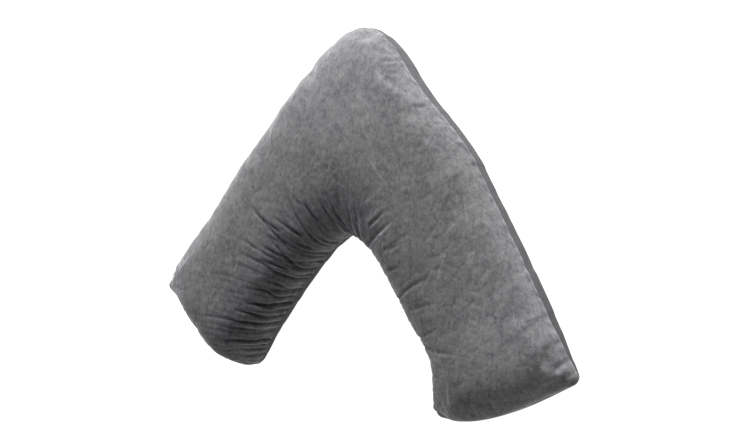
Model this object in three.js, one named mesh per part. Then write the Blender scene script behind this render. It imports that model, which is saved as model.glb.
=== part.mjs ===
// V shaped pillow lying on its back: one filled body under a velour front, and a plain cloth
// back panel sewn to it all round. Millimetres, +Z up out of the front, the point of the V at +Y.
// The origin is on the surface that the pillow lies on, under the middle of its box.
import * as THREE from 'three';
import { mergeVertices } from 'three/addons/utils/BufferGeometryUtils.js';

// Driving dimensions
const THICKNESS = 150;        // filled height of an arm, from the surface to the top of its crown
const ARM_WIDTH = 280;        // typical width of an arm from seam to seam, for even columns
const SEAM_HEIGHT = 74;       // height of the seam between front and back
const FULLNESS = 3;           // exponent of the section: 2 is an ellipse, more is a fuller pillow
const UNDERSIDE_PRESS = 1.06; // how far past the surface the back would reach, pressed flat there
const CLOTH = 2;              // thickness of the back panel
const CLEARANCE = 0.3;        // between the back panel and the filled body
const SEAM_GAP = 0.4;         // between the panel's edge and the body's ledge at the seam

// Steps of the surface: sections along the V, extra ones at its ends, and columns across it
const SECTIONS_PER_ROW = { left: 8, right: 7 };
const END_STEPS = 5;
const FRONT_COLUMNS = 22;
const BACK_COLUMNS = 10;
const ARC_STEPS = 400;        // steps in which a section's arc is measured

// One row for each place where the seams were measured, from the left arm's end over the
// point to the right arm's end. outer and inner are the two seams of the arm, the rises lift
// them above SEAM_HEIGHT, and crown adds to THICKNESS.
const SECTIONS = [
  { outerX: -506, outerY: -220, innerX: -257, innerY: -371, innerRise: -34, outerRise: 0, crown: -6 },
  { outerX: -428, outerY: -118, innerX: -232, innerY: -320, innerRise: -30, outerRise: 0, crown: 0 },
  { outerX: -348, outerY: -18, innerX: -209, innerY: -281, innerRise: -18, outerRise: 0, crown: 0 },
  { outerX: -288, outerY: 69, innerX: -170, innerY: -224, innerRise: -12, outerRise: 0, crown: 0 },
  { outerX: -217, outerY: 159, innerX: -132, innerY: -167, innerRise: -12, outerRise: 0, crown: 0 },
  { outerX: -130, outerY: 272, innerX: -84, innerY: -103, innerRise: -10, outerRise: 0, crown: 1 },
  { outerX: -47, outerY: 351, innerX: -46, innerY: -63, innerRise: -5, outerRise: 0, crown: 1 },
  { outerX: 9, outerY: 380, innerX: 9, innerY: -32, innerRise: 0, outerRise: 2, crown: 2 },
  { outerX: 71, outerY: 353, innerX: 63, innerY: -58, innerRise: 0, outerRise: 14, crown: 1 },
  { outerX: 147, outerY: 267, innerX: 106, innerY: -107, innerRise: 0, outerRise: 16, crown: 1 },
  { outerX: 246, outerY: 165, innerX: 154, innerY: -174, innerRise: 0, outerRise: 6, crown: 0 },
  { outerX: 311, outerY: 69, innerX: 199, innerY: -230, innerRise: 0, outerRise: 4, crown: 0 },
  { outerX: 375, outerY: -26, innerX: 216, innerY: -266, innerRise: 0, outerRise: 8, crown: 0 },
  { outerX: 440, outerY: -130, innerX: 219, innerY: -313, innerRise: 0, outerRise: 8, crown: 0 },
  { outerX: 494, outerY: -245, innerX: 217, innerY: -362, innerRise: 0, outerRise: -36, crown: -6 },
];

// Length over which an arm closes down to its end seam, at its inner and at its outer side
const END_TAPER = { left: { inner: 88, outer: 88 }, right: { inner: 112, outer: 62 } };

// The end seams bow outwards by bow at the middle. skew bows the inner half out and the outer
// half in, and both fade over length.
const END_BOW = {
  left: { bow: 1, skew: 10, length: 260 },
  right: { bow: 28, skew: 3, length: 260 },
};

// Corners of the seam at the inner and the outer side of each end: their radius, the share of the
// full height that the filling has there, and how far from them it reaches its full height
const CORNERS = {
  left: {
    inner: { radius: 26, filled: 0.7, reach: 90 },
    outer: { radius: 14, filled: 0.66, reach: 120 },
  },
  right: {
    inner: { radius: 20, filled: 0.7, reach: 90 },
    outer: { radius: 16, filled: 0.8, reach: 100 },
  },
};

// One row for each main fold of the front: where it starts, its heading in degrees from +X,
// how far it reaches, how far it bows to its left, and the width and depth of its trough.
// Folds at the inner seam start a little inside the notch.
const FOLDS = [
  { x: 42, y: -34, heading: 134, reach: 128, bow: 12, width: 11, depth: 7 },
  { x: -38, y: -68, heading: 125, reach: 152, bow: 5, width: 11, depth: 7 },
  { x: -52, y: -82, heading: 152, reach: 146, bow: 9, width: 11, depth: 7 },
  { x: -110, y: -64, heading: 141, reach: 160, bow: 6, width: 12, depth: 6 },
  { x: -66, y: -98, heading: 169, reach: 150, bow: 10, width: 11, depth: 6 },
  { x: -84, y: -122, heading: 166, reach: 96, bow: -6, width: 10, depth: 5 },
  { x: -102, y: -148, heading: 159, reach: 146, bow: -10, width: 12, depth: 9 },
  { x: -118, y: -170, heading: 180, reach: 116, bow: -4, width: 10, depth: 7 },
  { x: -134, y: -194, heading: 182, reach: 84, bow: 5, width: 10, depth: 6 },
  { x: -148, y: -214, heading: 178, reach: 96, bow: 3, width: 9, depth: 5 },
  { x: -166, y: -234, heading: 172, reach: 92, bow: -5, width: 9, depth: 6 },
  { x: -172, y: -252, heading: 175, reach: 126, bow: -4, width: 9, depth: 7 },
  { x: -190, y: -271, heading: 179, reach: 110, bow: 0, width: 9, depth: 6 },
  { x: -192, y: -287, heading: 183, reach: 98, bow: 3, width: 9, depth: 6 },
  { x: -198, y: -307, heading: 176, reach: 62, bow: 0, width: 9, depth: 5 },
  { x: -212, y: -333, heading: 179, reach: 66, bow: 0, width: 9, depth: 5 },
  { x: 48, y: -44, heading: 89, reach: 92, bow: 0, width: 9, depth: 6 },
  { x: 30, y: -46, heading: 92, reach: 106, bow: -3, width: 9, depth: 7 },
  { x: 14, y: -44, heading: 102, reach: 66, bow: 0, width: 9, depth: 6 },
  { x: 62, y: -46, heading: 40, reach: 104, bow: 0, width: 13, depth: 8 },
  { x: 112, y: -48, heading: 37, reach: 84, bow: 0, width: 14, depth: 4 },
  { x: 134, y: -144, heading: 36, reach: 118, bow: 4, width: 14, depth: 8 },
  { x: 170, y: -152, heading: 21, reach: 84, bow: 0, width: 12, depth: 4 },
  { x: 178, y: -213, heading: 30, reach: 90, bow: 0, width: 13, depth: 7 },
  { x: 198, y: -212, heading: 0, reach: 92, bow: -4, width: 12, depth: 9 },
  { x: 214, y: -275, heading: 12, reach: 56, bow: 0, width: 12, depth: 4 },
  { x: 226, y: -298, heading: -40, reach: 58, bow: 0, width: 12, depth: 5 },
  { x: 300, y: -300, heading: 13, reach: 132, bow: -4, width: 16, depth: 4 },
  { x: 438, y: -178, heading: 269, reach: 82, bow: 0, width: 18, depth: 4 },
  { x: 492, y: -190, heading: 215, reach: 48, bow: 0, width: 11, depth: 5 },
  { x: 94, y: 346, heading: 165, reach: 58, bow: 0, width: 12, depth: 5 },
  { x: 110, y: 328, heading: 172, reach: 52, bow: 0, width: 11, depth: 5 },
];
const FOLD_RISE = 14;         // a fold grows to its full depth over this length
const FOLD_SHOULDER = 0.35;   // height of the ridges beside a trough, as a share of its depth
const SHOULDER_OFFSET = 1.7;  // from the trough's middle to a ridge, in widths
const SEAM_CALM = 12;         // folds fade out over this height beside the seam

// Materials and the step within which corners of neighbouring faces are one corner
const VELOUR = { color: 0x6f6f71, roughness: 0.9, metalness: 0 };
const PLAIN_CLOTH = { color: 0x66676a, roughness: 0.85, metalness: 0 };
const MERGE_STEP = 1e-4;

const lerp = THREE.MathUtils.lerp;
const clamp = THREE.MathUtils.clamp;
const smooth = (x) => THREE.MathUtils.smoothstep(x, 0, 1);

// Smooth curve through one column of SECTIONS, at a place counted in rows
function column(name, place) {
  const last = SECTIONS.length - 1;
  const row = Math.min(Math.floor(place), last - 1);
  const value = (k) => {
    if (k < 0) return 2 * SECTIONS[0][name] - SECTIONS[1][name];
    if (k > last) return 2 * SECTIONS[last][name] - SECTIONS[last - 1][name];
    return SECTIONS[k][name];
  };
  const [a, b, c, d] = [value(row - 1), value(row), value(row + 1), value(row + 2)];
  const f = place - row;
  const [square, cube] = [2 * a - 5 * b + 4 * c - d, 3 * b - a - 3 * c + d];
  return 0.5 * (2 * b + (c - a) * f + square * f ** 2 + cube * f ** 3);
}

function seams(place) {
  const outer = new THREE.Vector3(column('outerX', place), column('outerY', place),
    SEAM_HEIGHT + column('outerRise', place));
  const inner = new THREE.Vector3(column('innerX', place), column('innerY', place),
    SEAM_HEIGHT + column('innerRise', place));
  return { outer, inner, middle: outer.clone().lerp(inner, 0.5).setZ(0) };
}

// Height of a full section at a share of its half width, 1 at the middle and 0 at the edge
const swell = (share) => (1 - Math.min(1, Math.abs(share)) ** FULLNESS) ** (1 / FULLNESS);

// Places of the sections: close together on the folded left arm and where the ends turn down
function sectionPlaces() {
  const last = SECTIONS.length - 1;
  const places = [];
  for (let row = 0; row < last; row += 1) {
    const steps = row < last / 2 ? SECTIONS_PER_ROW.left : SECTIONS_PER_ROW.right;
    for (let k = 0; k < steps; k += 1) places.push(row + k / steps);
  }
  places.push(last);
  const ends = [];
  const firstStep = places[1];
  for (let k = 1; k < END_STEPS; k += 1) ends.push(firstStep * (k / END_STEPS) ** 2);
  return [0, ...ends, ...places.slice(1, -1), ...ends.map((e) => last - e).reverse(), last];
}

// Columns across a section, evenly spaced along its arc
function evenColumns(count) {
  const arc = [0];
  const share = (k) => -Math.cos((Math.PI * k) / ARC_STEPS);
  for (let k = 1; k <= ARC_STEPS; k += 1) {
    const across = (ARM_WIDTH / 2) * (share(k) - share(k - 1));
    const up = SEAM_HEIGHT * (swell(share(k)) - swell(share(k - 1)));
    arc.push(arc[k - 1] + Math.hypot(across, up));
  }
  const columns = [];
  let k = 0;
  for (let c = 0; c <= count; c += 1) {
    const goal = (arc[ARC_STEPS] * c) / count;
    while (k < ARC_STEPS - 1 && arc[k + 1] < goal) k += 1;
    const f = clamp((goal - arc[k]) / (arc[k + 1] - arc[k]), 0, 1);
    columns.push((1 + lerp(share(k), share(k + 1), f)) / 2);
  }
  return columns;
}

// Everything that a section needs: its seams, its direction along the V and its distances
// from the two ends, along the middle and along each seam
function sectionFrames(places) {
  const frames = places.map((place) => ({ place, ...seams(place) }));
  const total = { middle: 0, inner: 0, outer: 0 };
  frames.forEach((frame, k) => {
    for (const line of Object.keys(total)) {
      if (k > 0) total[line] += frame[line].clone().sub(frames[k - 1][line]).setZ(0).length();
    }
    frame.run = { ...total };
  });
  frames.forEach((frame, k) => {
    const before = frames[Math.max(k - 1, 0)];
    const after = frames[Math.min(k + 1, frames.length - 1)];
    frame.forward = after.middle.clone().sub(before.middle).normalize();
    frame.across = frame.outer.clone().sub(frame.inner).setZ(0).normalize();
    frame.fromEnd = { left: frame.run.middle, right: total.middle - frame.run.middle };
    frame.seamFromEnd = { left: frame.run, right: {} };
    for (const line of ['inner', 'outer']) {
      frame.seamFromEnd.right[line] = total[line] - frame.run[line];
    }
  });
  return frames;
}

// The four corners of the seam, seen from a point of a section: their row in CORNERS, the end
// that they are at with its sign, the sign of their side, and the distances from end and side
function corners(frame, t) {
  const width = frame.outer.distanceTo(frame.inner);
  return [['left', -1], ['right', 1]].flatMap(([end, sign]) => {
    const { inner, outer } = CORNERS[end];
    const fromEnd = frame.seamFromEnd[end];
    return [
      { ...inner, sign, side: 1, fromEnd: fromEnd.inner, fromSide: width * t },
      { ...outer, sign, side: -1, fromEnd: fromEnd.outer, fromSide: width * (1 - t) },
    ];
  });
}

// How far an arm has closed down at a point of a section: 0 before the taper, 1 at the end seam
function taper(frame, end, t) {
  const { inner, outer } = END_TAPER[end];
  return clamp(1 - frame.fromEnd[end] / lerp(inner, outer, t), 0, 1);
}

// Share of the full height: 0 at the seams, 1 over the middle of an arm
function filledShare(frame, t) {
  return corners(frame, t).reduce((share, { filled, reach, fromEnd, fromSide }) =>
    share * lerp(filled, 1, smooth(Math.hypot(fromEnd, fromSide) / reach)),
  swell(taper(frame, 'left', t)) * swell(taper(frame, 'right', t)) * swell(2 * t - 1));
}

// Point on the seam's own level, between the two seams, with the bow and the round corners
// of the arm's end
function seamLevel(frame, t) {
  const point = frame.inner.clone().lerp(frame.outer, t);
  for (const [end, sign] of [['left', -1], ['right', 1]]) {
    const { bow, skew, length } = END_BOW[end];
    const ease = clamp(1 - frame.fromEnd[end] / length, 0, 1) ** 2;
    const shape = bow * Math.sin(Math.PI * t) + skew * Math.sin(2 * Math.PI * t);
    point.addScaledVector(frame.forward, sign * ease * shape);
  }
  for (const { radius, sign, side, fromEnd, fromSide } of corners(frame, t)) {
    const [p, q] = [Math.max(radius - fromEnd, 0), Math.max(radius - fromSide, 0)];
    const shrink = p > 0 && q > 0 ? 1 - Math.max(p, q) / Math.hypot(p, q) : 0;
    point.addScaledVector(frame.forward, -sign * p * shrink);
    point.addScaledVector(frame.across, side * q * shrink);
  }
  return point;
}

function frontPoint(frame, t) {
  const point = seamLevel(frame, t);
  const top = THICKNESS + column('crown', frame.place);
  point.z = lerp(point.z, top, filledShare(frame, t));
  return point;
}

function backPoint(frame, t) {
  const point = seamLevel(frame, t);
  point.z = Math.max(point.z * (1 - UNDERSIDE_PRESS * filledShare(frame, t)), 0);
  return point;
}

// How far the front is drawn in at a place of the plan, by all folds together
function foldDepth(x, y) {
  let depth = 0;
  for (const fold of FOLDS) {
    const angle = THREE.MathUtils.degToRad(fold.heading);
    const [dx, dy] = [x - fold.x, y - fold.y];
    const along = (dx * Math.cos(angle) + dy * Math.sin(angle)) / fold.reach;
    if (along <= 0 || along >= 1) continue;
    const bowed = fold.bow * 4 * along * (1 - along);
    const off = (dy * Math.cos(angle) - dx * Math.sin(angle) - bowed) / fold.width;
    const strength = smooth((along * fold.reach) / FOLD_RISE) * (1 - along ** 2);
    const trough = Math.exp(-(off ** 2));
    const shoulders = Math.exp(-((Math.abs(off) - SHOULDER_OFFSET) ** 2)) * FOLD_SHOULDER;
    depth += fold.depth * strength * (trough - shoulders);
  }
  return depth;
}

// Front rows of points, drawn in along the surface's own normal
function foldedFront(frames, columns) {
  const plain = frames.map((frame) => columns.map((t) => frontPoint(frame, t)));
  return plain.map((row, i) => row.map((point, j) => {
    const edge = i === 0 || j === 0 || i === plain.length - 1 || j === row.length - 1;
    if (edge) return point.clone();
    const alongStep = plain[i + 1][j].clone().sub(plain[i - 1][j]);
    const acrossStep = row[j + 1].clone().sub(row[j - 1]);
    const inward = acrossStep.cross(alongStep).normalize();
    const calm = smooth((point.z - seamLevel(frames[i], columns[j]).z) / SEAM_CALM);
    return point.clone().addScaledVector(inward, foldDepth(point.x, point.y) * calm);
  }));
}

// How far the surface leans outwards at a share of its half width, for an offset of one
const lean = (share) => Math.sign(share) * Math.abs(share) ** (FULLNESS - 1);

// Back rows of points, moved inwards from the panel's outer face by a distance
function insetBack(frames, columns, distance) {
  return frames.map((frame) => columns.map((t) => {
    const point = backPoint(frame, t);
    const level = seamLevel(frame, t).z;
    const [left, right] = ['left', 'right'].map((end) => lean(taper(frame, end, t)));
    point.addScaledVector(frame.across, -distance * lean(2 * t - 1));
    point.addScaledVector(frame.forward, distance * (left - right));
    point.z = distance + (point.z * (level - distance)) / level;
    return point;
  }));
}

// The seam as a ring of points round a grid: left end, outer side, right end, inner side
function ring(rows) {
  const last = rows.length - 1;
  const width = rows[0].length - 1;
  return [
    ...rows[0].slice(0, width),
    ...rows.slice(0, last).map((row) => row[row.length - 1]),
    ...rows[last].slice(1).reverse(),
    ...rows.slice(1).map((row) => row[0]).reverse(),
  ];
}

// Collects triangles of a closed solid
class Skin {
  constructor() {
    this.corners = [];
  }

  triangle(a, b, c) {
    for (const p of [a, b, c]) this.corners.push(p.x, p.y, p.z);
  }

  quad(a, b, c, d) {
    if (a.distanceToSquared(c) <= b.distanceToSquared(d)) {
      this.triangle(a, b, c);
      this.triangle(a, c, d);
    } else {
      this.triangle(a, b, d);
      this.triangle(b, c, d);
    }
  }

  // Strip between two lines of points that may have different counts
  strip(first, second) {
    let [i, j] = [0, 0];
    const [m, n] = [first.length - 1, second.length - 1];
    while (i < m || j < n) {
      if (m === n) {
        this.quad(first[i], first[i + 1], second[j + 1], second[j]);
        i += 1;
        j += 1;
      } else if (j === n || (i < m && (i + 1) / m <= (j + 1) / n)) {
        this.triangle(first[i], first[i + 1], second[j]);
        i += 1;
      } else {
        this.triangle(first[i], second[j + 1], second[j]);
        j += 1;
      }
    }
  }

  grid(rows, upward) {
    for (let k = 0; k < rows.length - 1; k += 1) {
      if (upward) this.strip(rows[k + 1], rows[k]);
      else this.strip(rows[k], rows[k + 1]);
    }
  }

  // Sheets that run side by side are split along the same diagonals, so that they keep their gap
  sheet(rows, upward) {
    for (let k = 0; k < rows.length - 1; k += 1) {
      for (let i = 0; i < rows[k].length - 1; i += 1) {
        const [a, b, c, d] = [rows[k][i], rows[k][i + 1], rows[k + 1][i + 1], rows[k + 1][i]];
        if (upward) this.triangle(a, d, b);
        else this.triangle(a, b, d);
        if (upward) this.triangle(b, d, c);
        else this.triangle(b, c, d);
      }
    }
  }

  band(upper, lower) {
    upper.forEach((point, k) => {
      const next = (k + 1) % upper.length;
      this.quad(point, upper[next], lower[next], lower[k]);
    });
  }

  mesh(name, finish) {
    const soup = new THREE.BufferGeometry();
    soup.setAttribute('position', new THREE.Float32BufferAttribute(this.corners, 3));
    const geometry = mergeVertices(soup, MERGE_STEP);
    geometry.computeVertexNormals();
    const mesh = new THREE.Mesh(geometry, new THREE.MeshStandardMaterial(finish));
    mesh.name = name;
    return mesh;
  }
}

const frames = sectionFrames(sectionPlaces());
const frontColumns = evenColumns(FRONT_COLUMNS);
const backColumns = evenColumns(BACK_COLUMNS);

// The filled body: folded front, a ledge at the seam for the panel's edge, and the inner back
function makeFilledBody() {
  const front = foldedFront(frames, frontColumns);
  const back = insetBack(frames, backColumns, CLOTH + CLEARANCE);
  const seam = frames.map((frame) => backColumns.map((t) => seamLevel(frame, t)));
  front[0] = seam[0];
  front[front.length - 1] = seam[seam.length - 1];
  const skin = new Skin();
  skin.grid(front, true);
  skin.sheet(back, false);
  skin.band(ring(seam), ring(back));
  return skin.mesh('filled_body', VELOUR);
}

// The back panel: one sheet from the seam on one side to the seam on the other
function makeBackPanel() {
  const outside = insetBack(frames, backColumns, 0);
  const inside = insetBack(frames, backColumns, CLOTH);
  for (const rows of [outside, inside]) for (const point of ring(rows)) point.z -= SEAM_GAP;
  const skin = new Skin();
  skin.sheet(outside, false);
  skin.sheet(inside, true);
  skin.band(ring(inside), ring(outside));
  return skin.mesh('back_panel', PLAIN_CLOTH);
}

const pillow = new THREE.Group();
pillow.add(makeFilledBody(), makeBackPanel());

// The box's middle goes over the origin
const box = new THREE.Box3().setFromObject(pillow);
const centre = box.getCenter(new THREE.Vector3());
pillow.position.set(-centre.x, -centre.y, 0);

export default pillow;
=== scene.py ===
# V shaped pillow with a grey velour front and a plain cloth back, lying on its back
import math

import bpy
import numpy as np
from mathutils import Matrix, Vector


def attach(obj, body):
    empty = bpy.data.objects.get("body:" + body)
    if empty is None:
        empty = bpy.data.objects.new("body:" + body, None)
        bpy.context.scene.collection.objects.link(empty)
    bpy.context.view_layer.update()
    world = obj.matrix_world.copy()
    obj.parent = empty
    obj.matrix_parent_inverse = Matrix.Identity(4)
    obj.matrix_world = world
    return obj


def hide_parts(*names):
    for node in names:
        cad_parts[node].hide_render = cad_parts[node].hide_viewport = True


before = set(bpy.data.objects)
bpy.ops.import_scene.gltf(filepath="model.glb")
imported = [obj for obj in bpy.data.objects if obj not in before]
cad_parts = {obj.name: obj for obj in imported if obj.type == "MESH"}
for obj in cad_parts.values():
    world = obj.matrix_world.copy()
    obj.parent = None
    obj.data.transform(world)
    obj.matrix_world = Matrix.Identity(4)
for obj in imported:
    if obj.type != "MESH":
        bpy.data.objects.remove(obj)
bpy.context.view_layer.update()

MM = 0.001

# Driving dimensions of the pillow, in millimetres
THICKNESS = 150.0
SEAM_HEIGHT = 74.0
ARM_WIDTH = 280.0
FULLNESS = 3.0
UNDERSIDE_PRESS = 1.06
CLOTH = 2.0
CLEARANCE = 0.3
SEAM_GAP = 0.4

# Outer seam x and y, inner seam x and y, rise of the inner and of the outer seam, and crown:
# from the left end to the right end
SECTIONS = np.array([
    [-506, -220, -257, -371, -34, 0, -6],
    [-428, -118, -232, -320, -30, 0, 0],
    [-348, -18, -209, -281, -18, 0, 0],
    [-288, 69, -170, -224, -12, 0, 0],
    [-217, 159, -132, -167, -12, 0, 0],
    [-130, 272, -84, -103, -10, 0, 1],
    [-47, 351, -46, -63, -5, 0, 1],
    [9, 380, 9, -32, 0, 2, 2],
    [71, 353, 63, -58, 0, 14, 1],
    [147, 267, 106, -107, 0, 16, 1],
    [246, 165, 154, -174, 0, 6, 0],
    [311, 69, 199, -230, 0, 4, 0],
    [375, -26, 216, -266, 0, 8, 0],
    [440, -130, 219, -313, 0, 8, 0],
    [494, -245, 217, -362, 0, -36, -6],
], float)

# Length over which an arm closes down to its end seam, at its inner and at its outer side
END_TAPER = {"left": (88.0, 88.0), "right": (112.0, 62.0)}

# Bow of the end seams: bow at the middle, how far the inner half bows out and the outer half in,
# and the length over which both fade
END_BOW = {"left": (1, 10, 260), "right": (28, 3, 260)}

# Corners of the seam, inner and outer one of each end: radius, share of the full height that the
# filling has at the corner, and how far from the corner it reaches its full height
CORNERS = {
    "left": ((26, 0.7, 90), (14, 0.66, 120)),
    "right": ((20, 0.7, 90), (16, 0.8, 100)),
}

# Main folds: start x and y, heading in degrees, reach, bow to the left, width and depth
FOLDS = [
    (42, -34, 134, 128, 12, 11, 7),
    (-38, -68, 125, 152, 5, 11, 7),
    (-52, -82, 152, 146, 9, 11, 7),
    (-110, -64, 141, 160, 6, 12, 6),
    (-66, -98, 169, 150, 10, 11, 6),
    (-84, -122, 166, 96, -6, 10, 5),
    (-102, -148, 159, 146, -10, 12, 9),
    (-118, -170, 180, 116, -4, 10, 7),
    (-134, -194, 182, 84, 5, 10, 6),
    (-148, -214, 178, 96, 3, 9, 5),
    (-166, -234, 172, 92, -5, 9, 6),
    (-172, -252, 175, 126, -4, 9, 7),
    (-190, -271, 179, 110, 0, 9, 6),
    (-192, -287, 183, 98, 3, 9, 6),
    (-198, -307, 176, 62, 0, 9, 5),
    (-212, -333, 179, 66, 0, 9, 5),
    (48, -44, 89, 92, 0, 9, 6),
    (30, -46, 92, 106, -3, 9, 7),
    (14, -44, 102, 66, 0, 9, 6),
    (62, -46, 40, 104, 0, 13, 8),
    (112, -48, 37, 84, 0, 14, 4),
    (134, -144, 36, 118, 4, 14, 8),
    (170, -152, 21, 84, 0, 12, 4),
    (178, -213, 30, 90, 0, 13, 7),
    (198, -212, 0, 92, -4, 12, 9),
    (214, -275, 12, 56, 0, 12, 4),
    (226, -298, -40, 58, 0, 12, 5),
    (300, -300, 13, 132, -4, 16, 4),
    (438, -178, 269, 82, 0, 18, 4),
    (492, -190, 215, 48, 0, 11, 5),
    (94, 346, 165, 58, 0, 12, 5),
    (110, 328, 172, 52, 0, 11, 5),
]
# Finer folds between them
FINE_FOLDS = [
    (-109, -68, 160, 62, -2, 8, 3),
    (-112, -93, 162, 72, -1, 8, 4),
    (-116, -117, 168, 72, -3, 8, 4),
    (-125, -37, 153, 96, 4, 8, 3),
    (-77, -42, 155, 82, -1, 8, 4),
    (-99, -121, 136, 104, -11, 8, 3),
    (-38, -10, 131, 58, 0, 8, 4),
    (-74, 18, 140, 40, 0, 7, 2),
    (-61, -67, 162, 46, 0, 7, 3),
    (-132, -167, 156, 48, -10, 7, 3),
    (-148, -187, 163, 58, -9, 7, 3),
    (-162, -211, 170, 58, -4, 7, 4),
    (-181, -234, 166, 64, -4, 7, 3),
    (-188, -83, 151, 40, 0, 8, 2),
    (-205, -297, 176, 84, -4, 7, 4),
    (-220, -320, 178, 50, -5, 7, 3),
    (22, -20, 118, 96, 4, 7, 3),
    (78, -3, 43, 60, -1, 9, 3),
    (127, -42, 34, 42, -1, 9, 2),
    (122, -82, 21, 40, 0, 9, 3),
    (479, -200, 233, 34, 1, 7, 3),
    (484, -222, 240, 26, 0, 6, 2),
    (41, 373, 220, 22, 0, 6, 2),
    (74, 354, 164, 34, -2, 7, 3),
    (108, 316, 176, 34, 0, 7, 3),
    (122, 296, 183, 28, 0, 6, 2),
    (180, 236, 185, 32, 0, 7, 2),
]
# Thin lighter lines: painted highlights on the ridges beside folds, and lighter scratches in the
# nap.
# Start x and y, heading, reach, bow, half width and strength
HIGHLIGHT_AND_SCRATCH_LINES = [
    (-31, 34, 301, 78, 0, 1.7, 0.8),
    (41, 31, 273, 50, 0, 1.5, 0.7),
    (57, 29, 273, 52, -1, 1.5, 0.6),
    (85, -36, 45, 76, -1, 1.8, 0.7),
    (81, 130, 312, 57, -3, 1.2, 0.6),
    (245, 0, 49, 46, 0, 1.1, 0.4),
    (239, -94, 76, 81, 1, 1.1, 0.4),
    (276, 51, 32, 33, 0, 1.1, 0.35),
    (276, 80, 289, 53, 0, 1.1, 0.35),
    (134, 76, 305, 32, -3, 1.1, 0.35),
    (17, 188, 307, 54, 1, 1.1, 0.3),
    (233, -46, 276, 90, 0, 1.1, 0.25),
]
# Each sets in and ends over one part in this many of its length
LIGHT_LINE_ENDS = 6

# Painted light and shade over broad places, lighter where more light falls, as over the point of
# the V, and darker where less does: x and y of the middle, reach and strength, lighter above 0, and
# how wide each is for its reach
PAINTED_PATCHES = [
    (0, 250, 140, 0.27),
    (435, -190, 105, 0.46),
    (228, -300, 60, -0.2),
    (340, -120, 90, 0.1),
    (330, 0, 60, 0.1),
    (-480, -195, 65, -0.5),
]
PAINTED_PATCH_SPREAD = 0.7

# Painted shade over the left arm's inner slope beside its inner seam, which faces away from the
# light: strength, distance of its middle from the seam and reach. Then the x that it ends at, and
# the length over which it fades.
PAINTED_SHADE_INSIDE = (0.6, 108.0, 80.0)
INSIDE_SHADE_ENDS_AT = 190.0
INSIDE_SHADE_FADES_OVER = 150.0

# Thin painted lines along the seams: a painted highlight along the right arm's outer seam, with the
# length over which it sets in, painted shade along the end seams, and painted shade along the left
# arm's inner seam, with its distance from the seam, its width, the x that it ends at and the length
# of its fading
RIM_WIDTH = 4.0
RIM_LIGHT = 0.35
RIM_SETS_IN_OVER = 60.0
ENDS_DARK = 0.6
INNER_EDGE_DARK = 0.5
INNER_EDGE_AT = 2.0
INNER_EDGE_WIDTH = 2.5
INNER_EDGE_TO = 20.0
INNER_EDGE_FADES_OVER = 40.0

# Shape of a fold: length over which it deepens, its shoulders, the shares of its depth that a main
# fold's wide groove and narrow crease have, and the crease's width, trough and rolls
FOLD_RISE = 14.0
FOLD_SHOULDER = 0.35
SHOULDER_OFFSET = 1.7
GROOVE_SHARE = 0.13
CREASE_SHARE = 0.3
CREASE_WIDTH = 2.8
TROUGH_FALL = 1.5
TROUGH_ROUNDNESS = 0.2
TROUGH_BOTTOM = 0.447
ROLL_OFFSET = 2.4
ROLL_SPREAD = 1.6

# Height over a seam at which folds reach their full depth, and share of their creases' depth that
# folds of the right arm have, which are those that start beyond an x
SEAM_CALM = 6.0
RIGHT_CREASE_SHARE = 0.85
RIGHT_FOLDS_FROM = 60.0

# Painted shade in creases: depth of the darkest ones, and strength and range of the painted shade
# in the gathers' troughs
DARKEST_CREASE = 4.0
GATHER_DARK = 0.3
GATHER_DARK_FROM = 0.4
GATHER_DARK_MOST = 2.0

# Puckers along the seams: size of the waves in the seam itself, and depth, reach and pitch of the
# ripples that run into the cloth from it, with their slant on the left arm
SEAM_WAVE = 0.8
SEAM_WAVE_PITCH = 17.0
RIPPLES = {
    "inner": (0.7, 26, 9.0, 0.4),
    "outer": (0.5, 20, 12.0, 0.0),
    "left": (0.5, 16, 12.0, 0.0),
    "right": (0.6, 20, 12.0, 0.0),
}
# Each ripple is made of two sizes, with their shares. It is drawn out away from the seam, sharp in
# its trough, sets in beside the seam, and comes in patches: mean, contrast and two sizes.
RIPPLE_SIZES = ((1.0, 0.65), (0.55, 0.35))
RIPPLE_STRETCH = 8
RIPPLE_SHARPNESS = 0.8
RIPPLE_RISE = 2.5
RIPPLE_PATCHES = (0.55, 0.65, 55, 80)
# Length of the inner seam over which the left arm's ripples turn into the right arm's, and share of
# their depth that those have
LEFT_SEAM_LENGTH = 480
RIGHT_ARM_SHARE = 0.45

# Gathers that flow along the folds: cell size of their grid and how far it goes past the folds,
# length over which one runs on, their finest and coarsest width, depth, how sharp their
# troughs are, and how far they reach from the inner seam on the left arm and on the right one
GATHER_CELL = 2.0
GATHER_MARGIN = 110.0
GATHER_LENGTH = 64.0
GATHER_WIDTHS = (2.4, 7.0)
GATHER_DEPTH = 0.55
GATHER_SHARPNESS = 0.7
GATHER_REACH = (165.0, 62.0)
FLOW_SPREAD = 34.0
# The reach changes below an x and over a length. Gathers set in beside the seam over a short one.
GATHER_TURNS_AT = 60
GATHER_TURNS_OVER = 110
GATHER_RISE = 8
# Factor between a width and the blur that takes it out of noise
BLUR = 20

# Steps of the meshes, the row that shows the length across a section, and points worked on at once
STATIONS = 541
FRONT_COLUMNS = 160
PANEL_COLUMNS = 80
HIDDEN_COLUMNS = 20
SAMPLE_STATION = 30
BATCH = 4000

# Angle in degrees above which an edge looks sharp
SHARP_ANGLE = 60.0

# Cloth simulation: coarser grid, frames, pressure, bending stiffness, how much too large the cover
# is, the furthest that a point may move in millimetres, the cells over which its broad moves are
# averaged out, the share of what is left that is used, and the place round a corner kept calm
SIM_STATION_STEP = 3
SIM_COLUMN_STEP = 2
SIM_FRAMES = 20
SIM_PRESSURE = 3.0
SIM_BENDING = 0.5
SIM_EASE = 0.04
SIM_CAP = 6.0
SIM_SPREAD = (4, 6)
SIM_SHARE = 0.6
CORNER_CALM = 70.0
CORNER_STILL = 0.2

# Lumps of the filling: size and height of each kind
LUMPS = ((120.0, 1.3), (60.0, 0.6))

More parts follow.
